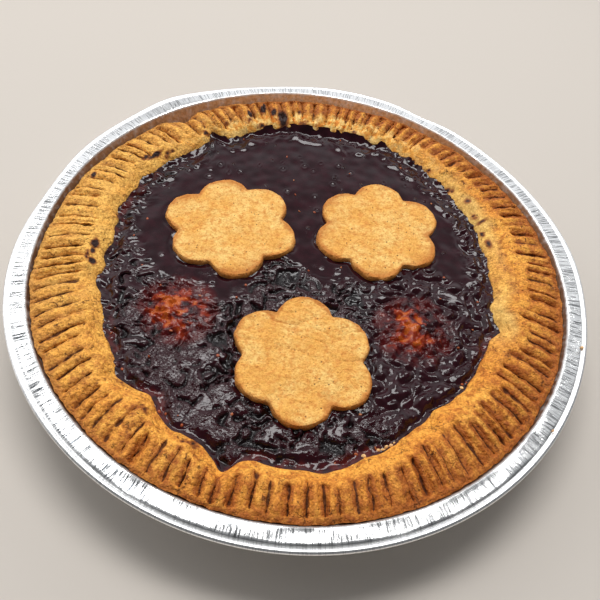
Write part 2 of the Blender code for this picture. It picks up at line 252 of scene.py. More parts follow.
# Creases of uneven width that meet where the ring closes
draw = np.random.default_rng(11)
crease_at = np.cumsum(draw.uniform(0.45, 1.7, CREASES))
crease_at *= 2 * math.pi / crease_at[-1]
crease_rise = draw.uniform(-1, 1, CREASES)
crease_rise[-1] = crease_rise[0]
crease_at = np.concatenate(([0.0], crease_at))
crease_rise = np.concatenate((crease_rise[-1:], crease_rise))
spots = spots_of(tin)
radius = np.hypot(spots[:, 0], spots[:, 1])
angle = np.arctan2(spots[:, 1], spots[:, 0])
height = spots[:, 2].copy()
wander = ring_noise(angle, radius, 40, 260)
crimp = np.interp((angle + 0.004 * wander) % (2 * math.pi), crease_at, crease_rise)
waves = ring_noise(angle, radius, 9, 120)

out = rising(radius, WALL_TOP_RADIUS, RIM_RADIUS - WALL_TOP_RADIUS)
on_wall = rising(height, 0.002, 0.026) * (radius < WALL_TOP_RADIUS + 0.0012)
on_flange = rising(radius, WALL_TOP_RADIUS, FLANGE_START)
on_flange *= 1 - 0.9 * rising(radius, FLANGE_RADIUS - 0.0008, 0.0009)
push = wall_push(angle, height) + out * swelling(angle, BEAD_BENDS)
creased = on_wall * (CREASE_DEPTH * crimp + 0.0001 * waves)
push += creased * (1 - on_flange) * falling(height, 0.0295, 0.0015)
lift = out * swelling(angle, BEAD_LIFTS) + on_flange * (CRIMP_RISE * crimp + FLANGE_WAVE * waves)
lifted = np.maximum(height + lift * (height > 0.02), 0)
place_spots(tin, around(angle, radius + push, lifted))
bpy.ops.object.shade_smooth_by_angle(angle=math.radians(32))

# Where the painted shade of the crease lines shows: mostly on the flange, more on some sides
crease_shade_share = rising(radius, WALL_TOP_RADIUS, FLANGE_START) * (1 - rising(radius, FLANGE_RADIUS - 0.0006, 0.0009))
crease_shade_share = (0.25 + 0.75 * crease_shade_share) * (0.58 - 0.12 * np.sin(angle) + swelling(angle, STRONGER_CREASE_SHADE))
stain(tin, "crimped", crease_shade_share)
# Painted reflection of the crust on the inner wall above it, made darker away from the far side as painted
# shade
inner_face = (np.arange(len(radius)) // TIN_SIDES < len(tin_inside)) * (radius < WALL_TOP_RADIUS)
stain(tin, "painted crust reflection", falling(height - 0.0001 * crimp, 0.0299, 0.0004) * inner_face)
stain(tin, "darker crust reflection", 1 - swelling(angle, ((92, 1.0, 54),)))

foil, tree, shader, place = new_finish("crimped foil")
level = moved(tree, "MULTIPLY", place, (1, 1, 0))
spoke = node(tree, "VectorMath", {0: level}, operation="NORMALIZE").outputs[0]
spoke = node(tree, "VectorMath", {0: spoke, "Scale": 230}, operation="SCALE").outputs[0]
along = node(tree, "VectorMath", {0: level}, operation="LENGTH").outputs["Value"]
along = node(tree, "CombineXYZ", {2: product(tree, along, 110)}).outputs[0]
fine = grains(tree, moved(tree, "ADD", spoke, along), 1.0, 2.0, 0.6)
# Dark lines along the creases, painted as shade and reflection, and also pressed in as a bump
crease_shade = product(tree, ramp(tree, fine, 0.37, 0.52, 1.0, 0.0), read(tree, "crimped"))
patchy = ramp(tree, grains(tree, place, 0.003, 4), 0.25, 0.55, 0.75, 1.0)
# The painted crust reflection: patchy, mottled tan to brown, and not metallic where it lies
crust_reflection = product(tree, read(tree, "painted crust reflection"), patchy)
mottled = ramp(tree, grains(tree, place, 0.0014, 4, 0.6), 0.4, 0.65)
reflection_colour = blended(tree, mottled, CRUST_REFLECTION_TAN, CRUST_REFLECTION_BROWN)
reflection_colour = blended(tree, read(tree, "darker crust reflection"), reflection_colour, CRUST_REFLECTION_DARK)
colour = blended(tree, crust_reflection, blended(tree, crease_shade, FOIL_BRIGHT, FOIL_CREASE_SHADE), reflection_colour)
tree.links.new(colour, shader.inputs["Base Color"])
tree.links.new(ramp(tree, crust_reflection, 0.0, 1.0, 1.0, 0.1), shader.inputs["Metallic"])
dull = sums(tree, "ADD", ramp(tree, fine, 0.3, 0.75, 0.18, 0.22), product(tree, crust_reflection, 0.2))
dull = sums(tree, "ADD", dull, ramp(tree, read(tree, "crimped"), 0.15, 0.45, 0.16, 0.0))
tree.links.new(dull, shader.inputs["Roughness"])
tree.links.new(raised(tree, crease_shade, -0.00007), shader.inputs["Normal"])
tin.data.materials.append(foil)
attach(tin, "root")
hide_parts("foil_tin")

# Crust. Nut shortcrust pressed into the tin and marked all round with a fork, browner where it stands up.
# Rings are pulled from its foot up the wall and over the top, then the marks and lumps are worked into them.
# A station is a share of the way from the crust's outer edge to the brow over the jam.
GAP = 0.0003
CRUST_FLOOR = 0.0085
CREST_RISE = 0.0003
CREST_SWAY = 0.0009
CREST_STATION = 0.62
SHOULDER_ROUND = 2.6
LIP_ROUND = 2.2
OUTER_DROP = 0.0021
OUTER_DROP_SWAY = 0.00115
OUTER_SHRINK = 0.001
OUTER_SHRINK_SWAY = 0.0005
CHIP = ((130, 0.002, 3.5),)
FOOT_HEIGHT = 0.0046
BROW_RUN = 0.0037
BROW_DROP = 0.0023
BROW_SHOULDER = 0.0249
RECESS_RUN = 0.0055
JAM_LEVEL = RIM_HEIGHT - 0.006
JAM_EDGE_RADIUS = 0.0922
JAM_EDGE_OVAL = 0.0036
JAM_EDGE_BAYS = (
    (353, -0.0016, 4), (345, 0.0032, 2.5), (309, -0.0039, 11), (58, 0.0018, 18), (69, 0.0026, 2.2),
    (102, 0.0012, 4), (120, -0.0016, 6), (126.6, 0.0068, 2.0), (160, 0.0046, 17), (184, -0.001, 4),
    (198, 0.0013, 5), (204.5, 0.0015, 2.0), (226, 0.0015, 3.5), (237, -0.0032, 3.5), (250, 0.0026, 45),
    (258.6, 0.003, 3.6), (260.1, 0.0034, 1.8), (283, 0.0023, 5),
)
MARKS = 112
MARK_PITCH = 2 * math.pi / MARKS
MARK_DEPTH = 0.0014
MARK_LEAN = math.radians(1.8)
COLUMNS = 16


def swell(spots, size, turn=0.0):
    """Soft swelling at each spot, mostly from -1 to 1, in lumps of this size. Turns give other patterns."""
    shift = Vector((turn, turn * 1.7, turn * 0.6))
    return 2.2 * np.array([noise.noise(Vector(spot) / size + shift) for spot in spots])


def eased(share):
    """A share from 0 to 1 that starts and ends gently."""
    return share * share * (3 - 2 * share)


def jam_edge(angle):
    """Where the jam meets the crust at the jam's level, with small ripples on the large bays."""
    base = JAM_EDGE_RADIUS - JAM_EDGE_OVAL * np.cos(2 * angle) + swelling(angle, JAM_EDGE_BAYS)
    round_trip = around(angle, 0.092, 0)
    lobes = 0.0007 + swelling(angle, ((186, 0.0009, 34),))
    return base + lobes * swell(round_trip, 0.01, 3) + 0.00024 * swell(round_trip, 0.0046, 5)


def drawn(least, most):
    """One random amount for each mark."""
    return np.array([random.uniform(least, most) for number in range(MARKS)])


# Each mark's place, depth, ends, slot and tilt. At the far side many marks are double
random.seed(7)
mark_angle = []
mark_depth = []
for number in range(MARKS):
    mark_angle.append(MARK_PITCH * (number + random.uniform(-1, 1) * 0.2))
    mark_depth.append(MARK_DEPTH * (1 + random.uniform(-1, 1) * 0.4))
mark_angle = np.array(mark_angle)
mark_depth = np.array(mark_depth) * (1 + swelling(mark_angle, ((92, 0.35, 42),)))
mark_end = drawn(0.78, 0.97)
mark_end -= swelling(mark_angle, ((20, 0.26, 34), (262, -0.06, 12), (95, -0.3, 36)))
mark_start = drawn(0.01, 0.07) + swelling(mark_angle, ((275, 0.08, 40),))
mark_slot = drawn(0.05, 0.1)
mark_tilt = drawn(-0.7, 0.7)
mark_broad = swelling(mark_angle, ((308, 0.9, 34), (30, 0.5, 26), (252, 0.3, 14), (95, 0.6, 40)))
mark_hollow = drawn(0.35, 0.85) + 0.35 * mark_broad
twin_offset = np.array([random.choice((-1, 1)) * random.uniform(0.2, 0.34) for number in range(MARKS)])
twin_depth = np.maximum(drawn(-0.5, 0.7), 0.0)
back = swelling(mark_angle, ((95, 1.0, 40),))
twin_depth += 0.9 * back
twin_offset += (np.sign(twin_offset) * 0.38 - twin_offset) * back

stations = list(np.linspace(0, 0.09, 7)) + list(np.linspace(0.12, 1.0, 27))
crust_rows = [("foot", 0.0008), ("foot", FOOT_HEIGHT), ("wall", 0.01), ("wall", 0.016), ("wall", 0.021)]
crust_rows += [("top", station) for station in stations]
crust_rows += [("brow", share) for share in (0.12, 0.25, 0.4, 0.55, 0.7, 0.85, 1.0)]
crust_rows += [("recess", height) for height in (0.0225, 0.019, CRUST_FLOOR)]
ROW_STEP = 0.001
crust_section = [(0.06 + ROW_STEP * number, ROW_STEP * number) for number in range(len(crust_rows))]
crust = pulled_rings("nut_crust", MARKS * COLUMNS, crust_section)
capped()

# Every point's row and column, its mark, and how far across the mark it lies, from -0.5 to 0.5
spots = spots_of(crust)
row = np.rint(spots[:, 2] / ROW_STEP).astype(int)
column = np.arctan2(spots[:, 1], spots[:, 0]) / (MARK_PITCH / COLUMNS)
column = np.rint(column).astype(int) % (MARKS * COLUMNS)
mark = ((column + COLUMNS // 2) // COLUMNS) % MARKS
step = (column + COLUMNS // 2) % COLUMNS / COLUMNS - 0.5
across = np.sign(step) * np.abs(2 * step) ** 1.5 / 2
after = (np.roll(mark_angle, -1) - mark_angle) % (2 * math.pi)
before = np.roll(after, 1)
angle = mark_angle[mark] + across * np.where(across > 0, after[mark], before[mark])
kind = np.array([crust_rows[number][0] for number in row])
value = np.array([crust_rows[number][1] for number in row])

# The plain section, from the outer edge over the crest to the brow
edge = jam_edge(angle)
station = np.where(kind == "top", value, np.where(np.isin(kind, ("brow", "recess")), 1.0, 0.0))
circle = around(angle, 0.117, 0)
chip = swelling(angle, CHIP)
drop = OUTER_DROP + OUTER_DROP_SWAY * np.sin(angle - math.radians(20)) + chip
drop += 0.00025 * swell(circle, 0.009, 8) - swelling(angle, ((190, 0.0005, 30), (245, 0.0008, 46)))
edge_height = RIM_HEIGHT - drop
shrink = OUTER_SHRINK - OUTER_SHRINK_SWAY * np.cos(angle) + chip / 2 + 0.00015 * swell(circle, 0.006, 2)
shrink -= swelling(angle, ((190, 0.0006, 34), (248, 0.0007, 40)))
outer = wall_radius(angle, edge_height) - shrink
radius = outer + (edge + BROW_RUN - outer) * station
crest = RIM_HEIGHT + CREST_RISE - CREST_SWAY * np.sin(angle)
rise = 1 - (1 - np.minimum(1, station / CREST_STATION)) ** SHOULDER_ROUND
fall = np.maximum(0, (station - CREST_STATION) / (1 - CREST_STATION)) ** LIP_ROUND
height = edge_height + (crest - edge_height) * rise - (crest - (RIM_HEIGHT - BROW_DROP)) * fall


def strip(first, second):
    """Places on a flat strip, for noise that follows the marks or the folds."""
    return np.stack((first, second, np.zeros_like(second)), axis=1)


# The fork's marks: a narrow slot between rounded ridges, each with its own length, depth and wander
wave = swell(strip(mark * 1.37 + 0.5, station * 4.3), 1.0, 4)
lateral = across + 0.045 * wave * (1 - np.abs(2 * across) ** 2)
inside = eased(rising(station, mark_start[mark], 0.07) * falling(station, mark_end[mark], 0.16))
ragged = 1 + 0.35 * swell(strip(mark * 3.0 + 0.5, station * 14), 1.0, 9)
slot = np.exp(-(lateral / (mark_slot[mark] * (1 + mark_tilt[mark] * np.sign(lateral)))) ** 2)
hollow = (0.5 + 0.5 * np.cos(2 * math.pi * across)) ** (0.9 - 0.45 * mark_broad[mark])
hollow += 0.3 * mark_tilt[mark] * np.sin(2 * math.pi * across)
twin = twin_depth[mark] * np.exp(-((lateral - twin_offset[mark]) / 0.06) ** 2)
twin *= np.clip(1 - np.abs(2 * across) ** 8, 0, 1)
groove = (0.85 - 0.35 * mark_broad[mark]) * slot * ragged + mark_hollow[mark] * hollow + 0.45 * twin
height -= mark_depth[mark] * inside * groove
fibre = swell(strip(angle * 0.105 / 0.001, station * 3.6), 1.0, 15)
height += (0.00014 + 0.00016 * mark_broad[mark]) * fibre * inside
turned = angle - MARK_LEAN * np.cos(angle) * (0.5 - station)
radius = np.minimum(radius, wall_radius(turned, height) - shrink)

# The foot, the wall, the rounded brow over the jam and the recess for it
on = kind == "foot"
foot = wall_radius(turned, value) - np.where(value < 0.002, 0.0032, GAP * 2)
radius[on] = foot[on]
height[on] = value[on]
on = kind == "wall"
wall = wall_radius(turned, value) - GAP * 2 - (shrink - GAP * 2) * ((value - FOOT_HEIGHT) / 0.022)
radius[on] = wall[on]
height[on] = value[on]
on = kind == "brow"
roll = 1 - value
brow_height = (RIM_HEIGHT - BROW_DROP) * roll ** 2 + 2 * BROW_SHOULDER * value * roll
brow_height += JAM_LEVEL * value ** 2
radius[on] = (edge + BROW_RUN * roll ** 2)[on]
height[on] = brow_height[on]
on = kind == "recess"
radius[on] = (edge - RECESS_RUN * (JAM_LEVEL - value) / (JAM_LEVEL - CRUST_FLOOR))[on]
height[on] = value[on]
place_spots(crust, around(turned, radius, height))

# Lumps of the dough, pushed out along the surface and held down at the foot
outward = np.empty(len(crust.data.vertices) * 3)
crust.data.vertices.foreach_get("normal", outward)
outward = outward.reshape(-1, 3)
spots = spots_of(crust)
lip = rising(station, 0.6, 0.3) * (kind != "recess")
lumps = 0.00026 * swell(spots, 0.007, 1) + 0.0002 * swell(spots, 0.0034, 6)
lumps += 0.00013 * swell(spots, 0.0017, 2) * (1 - 0.6 * lip)
lumps += lip * (0.0004 * swell(spots, 0.01, 12) + 0.00016 * swell(spots, 0.005, 14))
held = np.where(kind == "recess", 0.0, np.where(kind == "brow", 1 - 0.75 * value, 1.0))
lumps *= np.where(np.isin(kind, ("foot", "wall")), 0.2, held)
spots += outward * lumps[:, None]
place_spots(crust, spots)
bpy.ops.object.shade_smooth_by_angle(angle=math.radians(60))

# Where it is browned, pale or golden, with painted shade in its marks and painted light on its far lip
BROWNER = ((300, 0.58, 40), (255, 0.2, 24), (345, 0.3, 20), (40, 0.35, 18), (95, 0.25, 12))
BROWNED_LIP = ((40, 0.5, 30), (345, 0.6, 16))
PALER = ((28, 1.0, 20), (350, 0.9, 9), (125, 0.3, 8))
not_recess = kind != "recess"
far = np.clip(0.5 + 0.5 * np.sin(angle), 0, 1)
browning = 0.9 * np.exp(-(station / 0.12) ** 2) * not_recess + 0.3 * far * np.clip(1 - station / 0.7, 0, 1)
browning += swelling(angle, BROWNER) * np.clip(1.2 - station, 0, 1)
browning += 0.5 * np.exp(-((station - 0.86) / 0.06) ** 2) * swelling(angle, BROWNED_LIP)
browning += np.isin(kind, ("foot", "wall")) * 1.0
stain(crust, "browned", browning)
# Painted shade in the fork's slots and twin slots, weaker at the far side
stain(crust, "groove", inside * (slot * ragged + 0.5 * twin) * (1 - swelling(angle, ((92, 0.35, 40),))))
# The hollows between the ridges: browner, and darkened further as painted shade, most at the far side
deeper = 1.2 + swelling(angle, ((95, 0.7, 44),))
stain(crust, "hollow", inside * (hollow * mark_hollow[mark] * deeper + 0.25 * fibre))
pale = swelling(angle, PALER) * rising(station + 0.05 * swell(spots, 0.006, 16), 0.79, 0.16)
stain(crust, "pale dough", pale)
# Golden dough on the left. On the far lip, which gets little light, the golden is painted light
golden_and_lip_light = swelling(angle, ((170, 1.0, 46),)) * (0.7 + 0.3 * station)
golden_and_lip_light += swelling(angle, ((92, 1.0, 30),)) * rising(station, 0.6, 0.25)
stain(crust, "golden_and_lip_light", golden_and_lip_light * (1 + 0.3 * swell(spots, 0.005, 17)))
far_lip = swelling(angle, ((93, 1.0, 34),)) * rising(station + 0.1 * swell(spots, 0.008, 24), 0.66, 0.16)
stain(crust, "far lip", far_lip * not_recess)

# Jam that boiled over: place round the ring, distance from the middle, half length and half width
BURNS = (
    (103, 0.1018, 0.0054, 0.0026), (108.6, 0.108, 0.003, 0.0015), (105.6, 0.106, 0.0024, 0.0014),
    (108, 0.1115, 0.0028, 0.0008), (113, 0.105, 0.0028, 0.0013), (147, 0.0985, 0.001, 0.0042),
    (163, 0.1122, 0.0012, 0.0016), (185.3, 0.0941, 0.0015, 0.0025), (191.3, 0.0938, 0.0014, 0.0018),
    (187.9, 0.0944, 0.0009, 0.0016), (58, 0.0955, 0.001, 0.001),
)
SCORCHES = (
    (41, 0.0945, 0.0012, 0.0014), (52, 0.095, 0.0014, 0.0012), (28.5, 0.093, 0.0012, 0.003),
    (22.0, 0.0915, 0.001, 0.0022), (97.8, 0.106, 0.0016, 0.0012), (110, 0.0965, 0.001, 0.003),
    (114, 0.1, 0.0018, 0.0024), (92, 0.0985, 0.0026, 0.0012), (172, 0.0915, 0.0014, 0.002),
    (143, 0.096, 0.0014, 0.004), (150, 0.1, 0.0012, 0.0034), (190, 0.0962, 0.0008, 0.003),
    (128, 0.0985, 0.0016, 0.0022), (238, 0.099, 0.002, 0.0024), (229, 0.0975, 0.0014, 0.0026),
    (70, 0.0965, 0.0012, 0.0018), (121, 0.101, 0.0014, 0.0016), (80, 0.0985, 0.001, 0.0016),
    (96.5, 0.098, 0.0022, 0.0026), (252, 0.099, 0.0018, 0.003),
)
DRIPS = (
    (34.7, 0.0951, 0.0017, 0.0017), (25.6, 0.0942, 0.0026, 0.0009), (17.2, 0.0915, 0.0013, 0.0028),
    (42.5, 0.0935, 0.0014, 0.0018), (250, 0.1006, 0.0011, 0.0011),
)
burnt = np.zeros_like(angle)
ragged_edge = 0.5 * swell(spots, 0.0012, 21) + 0.4 * swell(spots, 0.003, 22)
for depth, ragged_by, places in ((1.7, 0.26, BURNS), (0.8, 0.45, SCORCHES), (1.05, 0.15, DRIPS)):
    for degrees, away, long, wide in places:
        turn = math.radians(degrees)
        sideways = spots[:, 1] * math.cos(turn) - spots[:, 0] * math.sin(turn)
        outwards = spots[:, 0] * math.cos(turn) + spots[:, 1] * math.sin(turn) - away
        spread = np.hypot(outwards / long, sideways / wide)
        burnt = np.maximum(burnt, depth - depth / 1.5 * spread + ragged_edge * ragged_by)
stain(crust, "burnt", burnt)

CRUST_TAN = (0.87, 0.345, 0.044)
CRUST_LIGHT = (0.97, 0.465, 0.074)
CRUST_BROWN = (0.53, 0.155, 0.017)
HOLLOW_BROWN_AND_SHADE = (0.37, 0.095, 0.01)
TOASTED_BROWN = (0.4, 0.108, 0.012)
GOLDEN_DOUGH_AND_LIP_LIGHT = (1.0, 0.58, 0.135)
PALE_DOUGH = (0.81, 0.55, 0.165)
GROOVE_SHADE = (0.075, 0.017, 0.003)
LIP_HIGHLIGHT_CREAM = (1.0, 0.7, 0.26)
AMBER = (0.66, 0.2, 0.014)
PIT_BROWN = (0.15, 0.038, 0.008)
CRACK_BROWN = (0.19, 0.052, 0.01)
NUT_FLECK = (0.18, 0.052, 0.012)
SCORCH_BROWN = (0.27, 0.06, 0.008)
CHAR_BLACK = (0.022, 0.004, 0.0016)


def layered(tree, colour, *layers):
    """Lays tints over a colour, each by its share."""
    for share, tint in layers:
        colour = blended(tree, share, colour, tint)
    return colour


def grained(tree, colour, share, lighter, darker):
    """A colour between its lighter and its darker grains, each given as how many times as bright."""
    return blended(tree, share, blended(tree, 1.0, colour, lighter, "MULTIPLY"),
                   blended(tree, 1.0, colour, darker, "MULTIPLY"))


def flecks(tree, place, size, least, most, core, rim):
    """Round flecks in a net of cells of this size: only in cells whose chance is over least."""
    cells = node(tree, "TexVoronoi", {"Vector": place, "Scale": 1 / size})
    chance = node(tree, "SeparateColor", {0: cells.outputs["Color"]}).outputs[0]
    near = ramp(tree, cells.outputs["Distance"], core, rim, 1.0, 0.0)
    return product(tree, ramp(tree, chance, least, most), near)


baked, tree, shader, place = new_finish("baked nut crust")
broad = grains(tree, place, 0.016, 3)
middling = grains(tree, place, 0.0038, 4, 0.6)
crumb = grains(tree, place, 0.0014, 2.5, 0.6)
grit = grains(tree, place, 0.0008, 2, 0.6)
lip_blotches = grains(tree, place, 0.0034, 4, 0.65)
far_lip = read(tree, "far lip")
firm = ramp(tree, sums(tree, "MAXIMUM", read(tree, "pale dough"), far_lip), 0.0, 1.0, 1.0, 0.25)
pits = ramp(tree, grains(tree, place, 0.003, 5, 0.7, 0.8), 0.31, 0.38, 1.0, 0.0)
bent = node(tree, "TexNoise", {"Vector": place, "Scale": 300.0, "Detail": 3.0}).outputs["Color"]
bent = moved(tree, "ADD", place, moved(tree, "MULTIPLY", bent, (0.005, 0.005, 0.005)))
split = node(tree, "TexVoronoi", {"Vector": bent, "Scale": 140.0}, feature="DISTANCE_TO_EDGE")
split = ramp(tree, split.outputs["Distance"], 0.01, 0.045, 1.0, 0.0)
split = product(tree, split, ramp(tree, grains(tree, place, 0.007, 3, 0.6), 0.58, 0.66))
split = product(tree, split, firm)

colour = blended(tree, ramp(tree, broad, 0.35, 0.68), CRUST_TAN, CRUST_LIGHT)
hollow_part = ramp(tree, middling, 0.3, 0.6, 0.55, 1.0)
# The hollows and slots carry painted shade, and the golden layer carries painted light on the far lip
colour = layered(
    tree, colour, (ramp(tree, middling, 0.44, 0.66, 0.0, 0.85), CRUST_BROWN),
    (product(tree, ramp(tree, read(tree, "hollow"), 0.05, 0.85), hollow_part), HOLLOW_BROWN_AND_SHADE),
    (product(tree, read(tree, "browned"), ramp(tree, middling, 0.2, 0.6, 0.6, 1.0)), TOASTED_BROWN),
    (product(tree, read(tree, "golden_and_lip_light"), 0.72), GOLDEN_DOUGH_AND_LIP_LIGHT),
    (product(tree, read(tree, "pale dough"), 0.75), PALE_DOUGH),
    (ramp(tree, read(tree, "groove"), 0.3, 0.85, 0.0, 0.92), GROOVE_SHADE),
)
colour = grained(tree, colour, ramp(tree, crumb, 0.35, 0.66), (1.12, 1.14, 1.16), (0.82, 0.76, 0.68))
colour = grained(tree, colour, ramp(tree, grit, 0.36, 0.64), (1.18, 1.22, 1.24), (0.87, 0.82, 0.74))
# Painted highlights in cream on the far lip, between amber blotches
lip_highlight = product(tree, ramp(tree, lip_blotches, 0.49, 0.56), far_lip)
amber = product(tree, ramp(tree, lip_blotches, 0.39, 0.48, 1.0, 0.0), far_lip)
fleck = product(tree, flecks(tree, place, 1 / 480, 0.82, 0.86, 0.12, 0.3), firm)
colour = layered(
    tree, colour, (product(tree, lip_highlight, 0.85), LIP_HIGHLIGHT_CREAM), (product(tree, amber, 0.9), AMBER),
    (product(tree, product(tree, pits, firm), 0.8), PIT_BROWN), (product(tree, split, 0.6), CRACK_BROWN),
    (product(tree, fleck, 0.65), NUT_FLECK),
    (ramp(tree, read(tree, "burnt"), 0.0, 0.6, 0.0, 0.9), SCORCH_BROWN),
    (ramp(tree, read(tree, "burnt"), 0.45, 0.85), CHAR_BLACK),
)
tree.links.new(colour, shader.inputs["Base Color"])
tree.links.new(ramp(tree, read(tree, "burnt"), 0.4, 1.0, 0.68, 0.55), shader.inputs["Roughness"])
shader.inputs["Specular IOR Level"].default_value = 0.35
bumps = raised(tree, product(tree, grains(tree, place, 0.0028, 4, 0.6), firm), 0.0011)
bumps = raised(tree, sums(tree, "ADD", pits, split), -0.0005, 1.0, bumps)
bumps = raised(tree, product(tree, grit, firm), 0.00036, 0.9, bumps)
bumps = raised(tree, product(tree, crumb, firm), 0.0005, 0.9, bumps)
tree.links.new(bumps, shader.inputs["Normal"])
crust.data.materials.append(baked)
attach(crust, "root")
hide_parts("crust")

# Flower biscuits. Rolled nut dough cut with a six petalled cutter, baked flat with soft edges.
# A square sheet is rounded out to the cutter's outline, its rim pulled down, and its underside closed.
# Each biscuit is its middle, the turn of its first petal, and how much longer each petal is.
PETAL_RING = 0.019
PETAL_RADIUS = 0.0125
PETAL_BLEND = 26
BISCUIT_TOP = RIM_HEIGHT - 0.0038
BISCUIT_BOTTOM = BISCUIT_TOP - 0.005
BISCUIT_SOFT = 0.0009
BISCUIT_CELLS = 110
CREASE_DROP = 0.00045
BISCUITS = {
    "biscuit_left": ((-0.0373, 0.0168), -11.7, (0.0007, 0.0001, -0.0009, 0.0005, -0.0014, 0.0)),
    "biscuit_right": ((0.0336, 0.0278), 31.0, (0.0001, -0.0002, -0.0013, 0.0004, -0.0004, -0.001)),
    "biscuit_front": ((0.0054, -0.0504), 34.3, (-0.0012, -0.0004, 0.0002, -0.002, -0.0004, -0.0004)),
}
BISCUIT_TAN = (0.9, 0.46, 0.1)
BISCUIT_LIGHT = (0.99, 0.64, 0.205)
BISCUIT_BROWN = (0.74, 0.3, 0.06)
BISCUIT_SPECK = (0.62, 0.215, 0.04)
BISCUIT_TOASTED = (0.56, 0.185, 0.032)
BISCUIT_NUT = (0.13, 0.038, 0.012)


def rounded(square):
    """Angle and reach of each point of a square sheet from -1 to 1, once its square rings are made round."""
    across, along = square[:, 0], square[:, 1]
    reach = np.maximum(np.abs(across), np.abs(along))
    wide = np.abs(across) >= np.abs(along)
    safe_across = np.where(np.abs(across) < 1e-9, 1e-9, across)
    safe_along = np.where(np.abs(along) < 1e-9, 1e-9, along)
    eighth = math.pi / 4
    angle = np.where(wide, eighth * along / safe_across, 2 * eighth - eighth * across / safe_along)
    angle += np.where(np.where(wide, across < 0, along < 0), math.pi, 0)
    return angle, reach


def flower_reach(angle, reaches):
    """Distance from a flower's middle to its outline, the notches between petals a little filled."""
    total = np.zeros_like(angle)
    for petal, extra in enumerate(reaches):
        away = angle - petal * math.pi / 3
        middle = PETAL_RING + extra
        inner = PETAL_RADIUS ** 2 - (middle * np.sin(away)) ** 2
        reach = middle * np.cos(away) + np.sqrt(np.maximum(inner, 0))
        total += np.where((inner > 0) & (np.cos(away) > 0), reach, 0) ** PETAL_BLEND
    return np.maximum(total, 1e-60) ** (1 / PETAL_BLEND)


def round_sheet(name, cells):
    """A square sheet of this many cells a side, with its rim pulled down in four steps and closed below."""
    bpy.ops.mesh.primitive_grid_add(x_subdivisions=cells, y_subdivisions=cells, size=2)
    piece = bpy.context.object
    piece.name = name
    bpy.ops.object.mode_set(mode="EDIT")
    bpy.ops.mesh.select_non_manifold(extend=False, use_wire=False, use_multi_face=False)
    for pull in range(4):
        bpy.ops.mesh.extrude_edges_move(TRANSFORM_OT_translate={"value": (0, 0, -0.25)})
    bpy.ops.object.mode_set(mode="OBJECT")
    capped()
    return piece


biscuit_dough, tree, shader, place = new_finish("baked biscuit")
broad = grains(tree, place, 0.011, 3)
middling = grains(tree, place, 0.0026, 4, 0.6)
crumb = grains(tree, place, 0.0011, 3, 0.7)
speck = grains(tree, place, 0.0009, 2, 0.6)
colour = blended(tree, ramp(tree, broad, 0.35, 0.68), BISCUIT_TAN, BISCUIT_LIGHT)
colour = layered(
    tree, colour, (ramp(tree, middling, 0.44, 0.68, 0.0, 0.8), BISCUIT_BROWN),
    (ramp(tree, speck, 0.56, 0.68, 0.0, 0.6), BISCUIT_SPECK),
    (ramp(tree, read(tree, "browned"), 0.15, 1.0, 0.0, 0.8), BISCUIT_TOASTED),
)
colour = grained(tree, colour, ramp(tree, crumb, 0.36, 0.66), (1.05, 1.08, 1.12), (0.88, 0.8, 0.68))
for size, least, part in ((0.0019, 0.84, 0.85), (0.001, 0.86, 0.6)):
    fleck = flecks(tree, place, size, least, least + 0.03, 0.1, 0.26)
    colour = layered(tree, colour, (product(tree, fleck, part), BISCUIT_NUT))
tree.links.new(colour, shader.inputs["Base Color"])
shader.inputs["Roughness"].default_value = 0.75
shader.inputs["Specular IOR Level"].default_value = 0.3
bumps = raised(tree, grains(tree, place, 0.0036, 3, 0.55), 0.0007, 0.9)
bumps = raised(tree, crumb, 0.0004, 0.9, bumps)
bumps = raised(tree, speck, 0.00034, 0.9, bumps)
tree.links.new(bumps, shader.inputs["Normal"])

for name, (middle, first_petal, reaches) in BISCUITS.items():
    biscuit = round_sheet(name + "_baked", BISCUIT_CELLS)
    spots = spots_of(biscuit)
    angle, share = rounded(spots[:, :2])
    outline = flower_reach(angle, np.array(reaches))
    reach = outline * share
    inward = outline - reach
    roll = np.clip(1 - inward / BISCUIT_SOFT, 0, 1)
    top = BISCUIT_TOP - BISCUIT_SOFT * (1 - np.sqrt(np.maximum(1 - roll ** 2, 0)))
    down = np.clip(-spots[:, 2], 0, 1)
    on_top = down < 0.01
    height = top - (top - BISCUIT_BOTTOM) * down
    reach += 0.0002 * np.sin(math.pi * down) - 0.0004 * (down > 0.9)
    turned = angle + math.radians(first_petal)
    laid = around(turned, reach, height)
    laid[:, :2] += middle
    dome = 0.0002 * swell(laid, 0.011, 31) + 0.00012 * swell(laid, 0.004, 33)
    dome += 0.00006 * swell(laid, 0.0016, 35)
    laid[:, 2] += np.minimum(dome - 0.00015, 0.0) * on_top
    # Faint creases across the far part of the front biscuit
    creases = np.maximum(1 - 3.2 * np.abs(swell(laid * (0.8, 2.0, 1), 0.01, 38)), 0)
    creases *= np.clip((laid[:, 1] - middle[1]) / 0.006 + 0.4, 0, 1) * np.clip(inward / 0.002, 0, 1)
    creases *= (name == "biscuit_front") * on_top
    laid[:, 2] -= CREASE_DROP * creases
    sideways = 0.00025 * swell(laid, 0.004, 37) * np.clip(1 - inward / 0.004, 0, 1) * (down < 0.9)
    laid += around(turned, sideways, 0)
    place_spots(biscuit, laid)
    toasted = np.clip(0.35 + 1.3 * swell(laid, 0.011, 39), 0, 1) * np.exp(-inward / 0.008)
    rim_brown = np.exp(-(inward / 0.002) ** 2) * 0.7 + 0.4 * (down > 0.01)
    # Browner at the rim, on the sides and where toasted, and darker along the front biscuit's creases
    stain(biscuit, "browned", rim_brown + 0.85 * toasted + 0.5 * creases)
    bpy.ops.object.shade_smooth_by_angle(angle=math.radians(50))
    biscuit.data.materials.append(biscuit_dough)
    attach(biscuit, "root")
    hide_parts(name)

